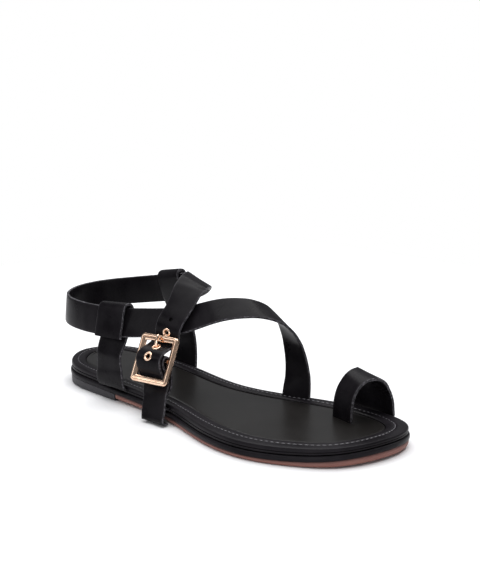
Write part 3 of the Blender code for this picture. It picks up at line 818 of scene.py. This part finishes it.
band = sole_layer("midsole_band", [
    # inset from the outline, height
    (0.9, lift(0.0, band_under)),
    (0.35, lift(0.12, band_under)),
    (0.08, lift(0.55, band_under)),
    (0.0, lift(1.2, band_under)),
    (0.0, lift(BAND_THICK - 1.1, band_under)),
    (0.15, lift(BAND_THICK - 0.5, band_under)),
    (0.55, lift(BAND_THICK - 0.15, band_under)),
    (1.2, lift(BAND_THICK - 0.02, band_under)),
    (2.6, lift(BAND_THICK, band_under)),
], wrap_leather)
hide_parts("midsole")

footbed = sole_layer("footbed_wrap", [
    # inset from the outline, height: lower roll, seam line, upper roll
    (2.2, wall(0.0)),
    (1.2, wall(0.02)),
    (0.85, wall(0.09)),
    (0.8, wall(0.2)),
    (0.85, wall(0.32)),
    (1.3, wall(0.37)),
    (1.3, wall(0.4)),
    (0.8, wall(0.45)),
    (0.7, wall(0.6)),
    (0.75, wall(0.8)),
    (1.05, wall(0.93)),
    (1.7, lift(-0.06, rim_top)),
    (2.6, lift(0.1, rim_top)),
    # the stitch groove in the rim
    (stitch_row(-1.4), lift(0.16, rim_top)),
    (stitch_row(-0.7), lift(0.06, rim_top)),
    (stitch_row(-0.25), lift(-0.22, rim_top)),
    (stitch_row(0.25), lift(-0.22, rim_top)),
    (stitch_row(0.7), lift(0.06, rim_top)),
    (stitch_row(1.5), lift(0.14, rim_top)),
    # the rim's inner edge and the recess for the sock
    (rim_edge(-1.4), lift(0.05, rim_top)),
    (rim_edge(-0.6), lift(-0.15, rim_top)),
    (rim_edge(-0.1), lift(-0.7, rim_top)),
    (rim_edge(0.0), lift(-SOCK_RECESS, rim_top)),
], wrap_leather, dish=heel_dish, across=16)
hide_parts("footbed")

sock = sole_layer("insole_sock_cover", [
    # inset from the outline, height
    (rim_edge(0.3), lift(-1.6, rim_top)),
    (rim_edge(0.3), lift(-1.1, rim_top)),
    (rim_edge(0.5), lift(-0.8, rim_top)),
    (rim_edge(1.0), lift(-0.66, rim_top)),
    (rim_edge(2.0), lift(-0.6, rim_top)),
], lining_leather, dish=heel_dish, across=20)
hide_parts("insole_sock")

# Stitches round the rim
THREAD_SIDES = 6
THREAD_RINGS = [
    # along the stitch as a share of its length, share of its full width
    (-0.5, 0.25),
    (-0.36, 0.8),
    (0.0, 1.0),
    (0.36, 0.8),
    (0.5, 0.25),
]
END_DROP = 0.16
SEAM_SAMPLES = 420
stitch_points = []
stitch_faces = []


def stitch(middle, along, up):
    """One laid thread: a low rounded bead with tapered ends that dip into the leather."""
    along = along / np.linalg.norm(along)
    side = np.cross(up, along)
    side /= np.linalg.norm(side)
    base = len(stitch_points)
    for s, r in THREAD_RINGS:
        drop = -END_DROP * (2 * s) ** 2
        for k in range(THREAD_SIDES):
            a = 2 * math.pi * k / THREAD_SIDES
            stitch_points.append(tuple(
                middle + along * (s * STITCH_LONG) + side * (math.cos(a) * r * THREAD_WIDE / 2)
                + up * (math.sin(a) * r * THREAD_HIGH / 2 + drop)
            ))
    for ring in range(len(THREAD_RINGS) - 1):
        for k in range(THREAD_SIDES):
            a = base + ring * THREAD_SIDES + k
            b = base + ring * THREAD_SIDES + (k + 1) % THREAD_SIDES
            stitch_faces.append((a, b, b + THREAD_SIDES, a + THREAD_SIDES))
    far_end = base + (len(THREAD_RINGS) - 1) * THREAD_SIDES
    stitch_faces.append(tuple(base + k for k in range(THREAD_SIDES))[::-1])
    stitch_faces.append(tuple(far_end + k for k in range(THREAD_SIDES)))


seam = [edge_point(t, -1, stitch_inset) for t in np.linspace(0.0, math.pi, SEAM_SAMPLES)]
seam += [edge_point(t, 1, stitch_inset) for t in np.linspace(math.pi, 0.0, SEAM_SAMPLES)]
seam = np.array(seam)
seam_run = run_along(seam)


def on_seam(s):
    s = min(max(s, 0.0), seam_run[-1])
    return np.array([np.interp(s, seam_run, seam[:, i]) for i in range(2)])


stitch_count = int(seam_run[-1] / STITCH_PITCH)
for k in range(stitch_count):
    s = (k + 0.5) * seam_run[-1] / stitch_count
    here = on_seam(s)
    ahead = on_seam(s + STITCH_REACH)
    back = on_seam(s - STITCH_REACH)
    way = np.array([ahead[0] - back[0], ahead[1] - back[1], rim_top(ahead[0]) - rim_top(back[0])])
    stitch(np.array([here[0], here[1], rim_top(here[0]) + THREAD_LIFT]), way, np.array([0.0, 0.0, 1.0]))
stitches = place_mesh("rim_stitches", stitch_points, stitch_faces, [thread], sharp=60.0)


# Straps

# A strap's rings stand this far apart in angle where it bends, and at its step where it is straight
TURN_A_RING = 0.10
FINE_SAMPLES = 2400


def path_frames(rows, across_rows, step):
    """Even samples along a smooth path: centre, way, side, and place among the rows."""
    rows = np.asarray(rows, float)
    across_rows = np.asarray(across_rows, float)
    knots = run_along(rows)
    centre = spline(knots, rows)
    across = spline(knots, across_rows)
    fine = np.linspace(0.0, knots[-1], FINE_SAMPLES)
    points = centre(fine)
    tangents = np.gradient(points, fine, axis=0)
    tangents /= np.linalg.norm(tangents, axis=1)[:, None]
    turning = np.arccos(np.clip((tangents[1:] * tangents[:-1]).sum(axis=1), -1.0, 1.0))
    effort = np.concatenate([[0.0], np.cumsum(turning / TURN_A_RING + np.diff(fine) / step)])
    at = np.interp(np.linspace(0.0, effort[-1], int(effort[-1]) + 2), effort, fine)
    centres = centre(at)
    ways = np.stack([np.interp(at, fine, tangents[:, i]) for i in range(3)], axis=1)
    ways /= np.linalg.norm(ways, axis=1)[:, None]
    sides = across(at)
    sides -= (sides * ways).sum(axis=1)[:, None] * ways
    sides /= np.linalg.norm(sides, axis=1)[:, None]
    stations = np.interp(at, knots, np.arange(len(rows)))
    return centres, ways, sides, stations


def strap_section(half, thick, crown):
    """Outline across a two-ply strap: crowned faces, eased corners, a seam along each edge.

    Rows: sideways, outward, 1 on the cut edge, worn.
    """
    h = thick / 2
    face = []
    for s in (-1.0, -0.93, -0.8, -0.5, -0.2, 0.2, 0.5, 0.8, 0.93, 1.0):
        worn = 1.0 if abs(s) == 1.0 else 0.25 if abs(s) > 0.9 else 0.0
        face.append((s * (half - 0.32), h - crown * abs(s) ** 6, 0, worn))
    # the cut edge, from the face round to the back, with the seam of the two plies between
    edge = [
        (half - 0.08, h - crown - 0.14),
        (half, h * 0.42),
        (half - 0.02, 0.12),
        (half - 0.17, 0.0),
        (half - 0.02, -0.12),
        (half, -h * 0.42),
        (half - 0.08, -h + crown + 0.14),
    ]
    ring = list(face)
    ring += [(a, b, 1, 0.0) for a, b in edge]
    ring += [(a, -b, 0, w) for a, b, _, w in reversed(face)]
    ring += [(-a, b, 1, 0.0) for a, b in reversed(edge)]
    return ring


def ribbon(name, rows, across_rows, width, thick=STRAP_THICK, step=1.3, crown=0.16, creases=()):
    """Strap swept along its path, with its creases pressed in and low ridges beside them."""
    centres, ways, sides, stations = path_frames(rows, across_rows, step)
    wide = np.interp(stations, np.arange(len(rows)), width)
    outs = np.cross(ways, sides)
    rings = [strap_section(w / 2, thick, crown) for w in wide]
    on_edge = [row[2] for row in rings[0]]
    count = len(on_edge)
    run = run_along(centres)
    marks = []
    for x, y, z, deep, long, slant in creases:
        near = int(np.argmin(np.linalg.norm(centres - np.array([x, y, z]), axis=1)))
        marks.append((run[near], deep, long, slant))
    points = []
    worn = []
    for i, (c, s, o) in enumerate(zip(centres, sides, outs)):
        for a, b, _, wear in rings[i]:
            fold = 0.0
            for pressed_at, deep, long, slant in marks:
                off = run[i] - pressed_at - slant * a / wide[i]
                trough = math.exp(-(off / long) ** 2)
                ridge = math.exp(-((abs(off) - RIDGE_AT * long) / long) ** 2)
                fold -= deep * trough - RIDGE_SHARE * deep * ridge
            points.append(tuple(c + s * a + o * (b + fold)))
            worn.append(wear)
    faces = []
    slots = []
    for i in range(len(centres) - 1):
        for k in range(count):
            n = (k + 1) % count
            faces.append((i * count + k, i * count + n, (i + 1) * count + n, (i + 1) * count + k))
            slots.append(1 if on_edge[k] or on_edge[n] else 0)
    last = (len(centres) - 1) * count
    for base in (0, last):
        faces.append(tuple(base + k for k in range(count)))
        slots.append(1)
    obj = place_mesh(name, points, faces, [upper_leather, edge_ink], slots, sharp=50.0)
    set_mark(obj, "worn", worn)
    return obj


across_dir = BUCKLE_ACROSS.normalized()
out_dir = (BUCKLE_OUT - across_dir * BUCKLE_OUT.dot(across_dir)).normalized()
down_dir = across_dir.cross(out_dir)
if down_dir.z > 0:
    down_dir = -down_dir


def in_buckle(down, out, side=0.0):
    """Point given from the middle of the buckle's bar."""
    return BUCKLE_MIDDLE + down_dir * down + out_dir * out + across_dir * side


wrap_rows = [row[:3] for row in WRAP] + [tuple(in_buckle(*row)) for row in WRAP_IN_BUCKLE]
wrap_across = [row[3:] for row in WRAP] + [tuple(-across_dir)] * len(WRAP_IN_BUCKLE)
wrap = ribbon(
    "long_wrap_strap", wrap_rows, wrap_across, [STRAP_WIDTH] * len(wrap_rows), creases=WRAP_CREASES,
)
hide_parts("wrap_strap")

loop = ribbon(
    "toe_loop_strap", [row[:3] for row in TOE_LOOP], [row[3:6] for row in TOE_LOOP],
    [row[6] for row in TOE_LOOP], step=1.0, crown=0.12, creases=TOE_LOOP_CREASES,
)
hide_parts("toe_loop")

# Directions across: along the sole at a keeper's foot, leaning a little above it
lateral_across = [(1.0, 0.0, 0.0)] * 6 + [(0.985, 0.11, 0.07)] * (len(KEEPER_LATERAL) - 6)
keeper_lateral = ribbon(
    "lateral_keeper", [row[:3] for row in KEEPER_LATERAL], lateral_across,
    [row[3] for row in KEEPER_LATERAL], step=1.0, creases=KEEPER_LATERAL_CREASES,
)
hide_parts("keeper_lateral")

medial_across = [(1.0, -0.04, 0.0)] * 5 + [(0.98, -0.09, 0.18)] * (len(KEEPER_MEDIAL) - 5)
keeper_medial = ribbon(
    "medial_keeper", [row[:3] for row in KEEPER_MEDIAL], medial_across,
    [row[3] for row in KEEPER_MEDIAL], step=1.0, creases=KEEPER_MEDIAL_CREASES,
)
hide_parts("keeper_medial")

# The tab: up inside, round the bar and down outside
tab_bend = []
for angle in (-60, -20, 20, 60, 100):
    a = math.radians(angle)
    tab_bend.append(in_buckle(-TAB_BEND * math.cos(a), TAB_BEND * math.sin(a)))
tab_on_bar = [in_buckle(down, out, TAB_INSIDE_SIDE) for down, out in TAB_INSIDE] + tab_bend
tab_on_bar += [in_buckle(*row) for row in TAB_OUTSIDE]
tab_rows = [tuple(Vector(p)) for p in TAB_FOOT + tab_on_bar + TAB_END]
tab_across = [(1.0, -0.08, 0.0)] * len(TAB_FOOT)
tab_across += [tuple(across_dir)] * len(tab_on_bar)
tab_across += [(1.0, 0.03, 0.0)] * len(TAB_END)
tab = ribbon(
    "buckle_tab_strap", tab_rows, tab_across, [TAB_WIDTH] * len(tab_rows),
    thick=TAB_THICK, step=0.9, crown=0.12, creases=TAB_CREASES,
)
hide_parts("buckle_tab")


def carve(obj, mesh):
    """Cuts a closed tool mesh out of a strap; the cut shows raw fibre."""
    data = bpy.data.meshes.new("tool")
    mesh.to_mesh(data)
    mesh.free()
    data.materials.append(hole_fibre)
    tool = bpy.data.objects.new("tool", data)
    bpy.context.scene.collection.objects.link(tool)
    hole = obj.modifiers.new("hole", "BOOLEAN")
    hole.operation = "DIFFERENCE"
    hole.solver = "EXACT"
    hole.object = tool
    bpy.context.view_layer.update()
    done = bpy.data.meshes.new_from_object(obj.evaluated_get(bpy.context.evaluated_depsgraph_get()))
    obj.modifiers.clear()
    obj.data = done
    bpy.data.objects.remove(tool)


def punch(obj, middle, axis, radius):
    """Round hole through a strap."""
    mesh = bmesh.new()
    bmesh.ops.create_cone(
        mesh, cap_ends=True, segments=24, radius1=radius * MM, radius2=radius * MM, depth=PUNCH_LONG * MM,
    )
    turn = Vector((0, 0, 1)).rotation_difference(Vector(axis)).to_matrix().to_4x4()
    place = Matrix.Translation(Vector(middle) * MM + SHIFT) @ turn
    bmesh.ops.transform(mesh, matrix=place, verts=mesh.verts)
    carve(obj, mesh)


# The prong's slot through the tab's bend
slot_tool = bmesh.new()
bmesh.ops.create_cube(slot_tool, size=1.0)
bmesh.ops.scale(slot_tool, vec=PRONG_SLOT * MM, verts=slot_tool.verts)
slot_turn = Matrix((across_dir, -down_dir, out_dir)).transposed().to_4x4()
slot_place = Matrix.Translation(in_buckle(*PRONG_SLOT_AT) * MM + SHIFT) @ slot_turn
bmesh.ops.transform(slot_tool, matrix=slot_place, verts=slot_tool.verts)
carve(tab, slot_tool)


def turned(name, profile, middle, axis, mat, steps=36):
    """Ring turned from a profile of (radius, height) points, closed."""
    axis = Vector(axis).normalized()
    flat = axis.orthogonal().normalized()
    other = axis.cross(flat)
    points = []
    faces = []
    count = len(profile)
    for i in range(steps):
        a = 2 * math.pi * i / steps
        way = flat * math.cos(a) + other * math.sin(a)
        for r, h in profile:
            points.append(tuple(Vector(middle) + way * r + axis * h))
    for i in range(steps):
        n = (i + 1) % steps
        for k in range(count):
            m = (k + 1) % count
            faces.append((i * count + k, n * count + k, n * count + m, i * count + m))
    return place_mesh(name, points, faces, [mat], sharp=50.0)


# Prong holes, set out from the place where the strap's crown passes over the bar
wrap_centres, wrap_ways, wrap_sides, _ = path_frames(wrap_rows, wrap_across, 0.5)
wrap_run = run_along(wrap_centres)
crest = in_buckle(*WRAP_IN_BUCKLE[4])
crest_at = int(np.argmin(np.linalg.norm(wrap_centres - np.array(crest), axis=1)))


def on_wrap(run, rows):
    return Vector([float(np.interp(run, wrap_run, rows[:, i])) for i in range(3)])


for index, (down, ringed) in enumerate(HOLES):
    here = wrap_run[crest_at] + down * RUN_OVER_DROP
    spot = on_wrap(here, wrap_centres)
    face_out = on_wrap(here, wrap_ways).cross(on_wrap(here, wrap_sides))
    if face_out.dot(out_dir) < 0:
        face_out = -face_out
    punch(wrap, spot, face_out, RING_HOLE_RADIUS if ringed else BARE_HOLE_RADIUS)
    if ringed:
        top = spot + face_out * (STRAP_THICK / 2)
        ring = turned(f"eyelet_ring_{index + 1}", EYELET, top, face_out, plate)
        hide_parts(f"eyelet_{index + 1}")


# Buckle

def frame_ring(name, wide, high, corner, section, mat):
    """Rounded rectangular frame; section rows are (inset from the outer edge, out)."""
    points = []
    faces = []
    corners = []
    steps = 7
    for cx, cy, start in ((1, 1, 0), (-1, 1, 90), (-1, -1, 180), (1, -1, 270)):
        for k in range(steps):
            corners.append((cx, cy, math.radians(start + 90 * k / (steps - 1))))
    for cx, cy, a in corners:
        for inset, out in section:
            r = max(corner - inset, 0.35)
            x = cx * (wide / 2 - inset - r) + math.cos(a) * r
            y = cy * (high / 2 - inset - r) + math.sin(a) * r
            points.append(tuple(in_buckle(-y, out, x)))
    count = len(section)
    total = len(corners)
    for i in range(total):
        n = (i + 1) % total
        for k in range(count):
            m = (k + 1) % count
            faces.append((i * count + k, n * count + k, n * count + m, i * count + m))
    return place_mesh(name, points, faces, [mat], sharp=28.0)


buckle = frame_ring("buckle_frame_plated", BUCKLE_WIDE, BUCKLE_HIGH, BUCKLE_CORNER, FRAME_SECTION, plate)
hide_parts("buckle_frame")


def rod(name, path, mat, count=14):
    """Round bar along (point, radius) pairs, flat at both ends."""
    points = []
    faces = []
    places = [Vector(p) for p, _ in path]
    for i, (p, r) in enumerate(path):
        p = Vector(p)
        way = (places[min(i + 1, len(path) - 1)] - places[max(i - 1, 0)]).normalized()
        flat = across_dir if abs(way.dot(across_dir)) < 0.9 else down_dir
        flat = (flat - way * flat.dot(way)).normalized()
        other = way.cross(flat)
        for k in range(count):
            a = 2 * math.pi * k / count
            points.append(tuple(p + flat * math.cos(a) * r + other * math.sin(a) * r))
    for i in range(len(path) - 1):
        for k in range(count):
            n = (k + 1) % count
            faces.append((i * count + k, i * count + n, (i + 1) * count + n, (i + 1) * count + k))
    faces.append(tuple(range(count))[::-1])
    faces.append(tuple((len(path) - 1) * count + k for k in range(count)))
    return place_mesh(name, points, faces, [mat], sharp=60.0)


half_bar = BUCKLE_WIDE / 2 - BUCKLE_RAIL
bar_path = [(in_buckle(0, 0, s * half_bar), BAR_RADIUS) for s in (-1.0, -0.5, 0.0, 0.5, 1.0)]
bar = rod("buckle_bar_plated", bar_path, plate)
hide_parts("buckle_bar")

prong_line = spline(range(len(PRONG)), PRONG)
prong_rows = prong_line(np.linspace(0, len(PRONG) - 1, 42))
prong_path = [(in_buckle(down, out, PRONG_SIDE), radius) for down, out, radius in prong_rows]
prong = rod("buckle_prong_plated", prong_path, plate)
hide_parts("buckle_prong")


# Studio: a pale table under one broad soft light, with two weak low ones for the buckle's rails
# and the near strap edges, and a white backdrop behind. Table and lights are placed in metres

TABLE_HALF = 0.5
TABLE_TOP = -0.0001

# Painted board: matt, very slightly uneven white
floor_mat, tree, shader, where = new_material("pale studio floor", "#f4f4f6", 0.9, level=0.1)
cloud = add(tree, "ShaderNodeTexNoise", {
    "Vector": where, "Scale": per_metre(FLOOR_CLOUD), "Detail": 4.0, "Roughness": 0.55,
})
share = add(tree, "ShaderNodeMapRange", {"Value": cloud, "From Min": 0.3, "From Max": 0.7})
tone = add(tree, "ShaderNodeMix", {
    "Factor": share, COLOUR_A: linear("#f4f4f6"), COLOUR_B: linear("#f6f6f7"),
}, data_type="RGBA").outputs[COLOUR_OUT]
tree.links.new(tone, shader.inputs["Base Color"])
table_corners = [(x * TABLE_HALF, y * TABLE_HALF, TABLE_TOP) for x, y in ((-1, -1), (1, -1), (1, 1), (-1, 1))]
floor_data = bpy.data.meshes.new("studio_floor")
floor_data.from_pydata(table_corners, [], [(0, 1, 2, 3)])
floor_data.materials.append(floor_mat)
floor = bpy.data.objects.new("studio_floor", floor_data)
bpy.context.scene.collection.objects.link(floor)

world = bpy.data.worlds.new("studio")
world.use_nodes = True
bpy.context.scene.world = world
bpy.context.scene.view_settings.view_transform = "Standard"
# The lit backdrop is white where it is seen; the room round the sandal stays dim
backdrop = world.node_tree.nodes["Background"]
backdrop.inputs["Color"].default_value = (1.0, 1.0, 1.0, 1.0)
backdrop.inputs["Strength"].default_value = 1.0
room = add(world.node_tree, "ShaderNodeBackground", {"Color": (0.95, 0.97, 1.0, 1.0), "Strength": 0.2})
seen = add(world.node_tree, "ShaderNodeLightPath").outputs["Is Camera Ray"]
both = add(world.node_tree, "ShaderNodeMixShader", {"Fac": seen, 1: room, 2: backdrop})
world.node_tree.links.new(both.outputs[0], world.node_tree.nodes["World Output"].inputs["Surface"])


def softbox(name, place, aim, size, power):
    data = bpy.data.lights.new(name, "AREA")
    data.shape = "RECTANGLE"
    data.size, data.size_y = size
    data.energy = power
    lamp = bpy.data.objects.new(name, data)
    lamp.location = place
    lamp.rotation_euler = (Vector(aim) - Vector(place)).to_track_quat("-Z", "Y").to_euler()
    bpy.context.scene.collection.objects.link(lamp)


softbox("overhead", (-0.15, 0.25, 1.3), (0.0, 0.0, 0.0), (2.0, 2.0), 37.0)
softbox("low front", (0.75, -0.95, 0.12), (0.0, 0.0, 0.04), (0.5, 0.25), 3.0)
softbox("low side", (-0.58, -0.89, 0.60), (-0.01, -0.04, 0.035), (0.5, 0.5), 1.5)

# Camera at the photograph's angle, matched to points along the sole's edges
eye = Vector((623.62, -444.07, 201.58)) * MM + SHIFT
right = Vector((0.681652, 0.731675, -0.001297))
up = Vector((-0.142322, 0.134331, 0.980663))
behind = Vector((0.717701, -0.668287, 0.1957))
camera_data = bpy.data.cameras.new("camera")
camera_data.lens = 73.22
camera_data.sensor_width = 36.0
camera_data.clip_start = 0.01
camera = bpy.data.objects.new("camera", camera_data)
camera.matrix_world = Matrix.Translation(eye) @ Matrix((right, up, behind)).transposed().to_4x4()
bpy.context.scene.collection.objects.link(camera)
bpy.context.scene.camera = camera
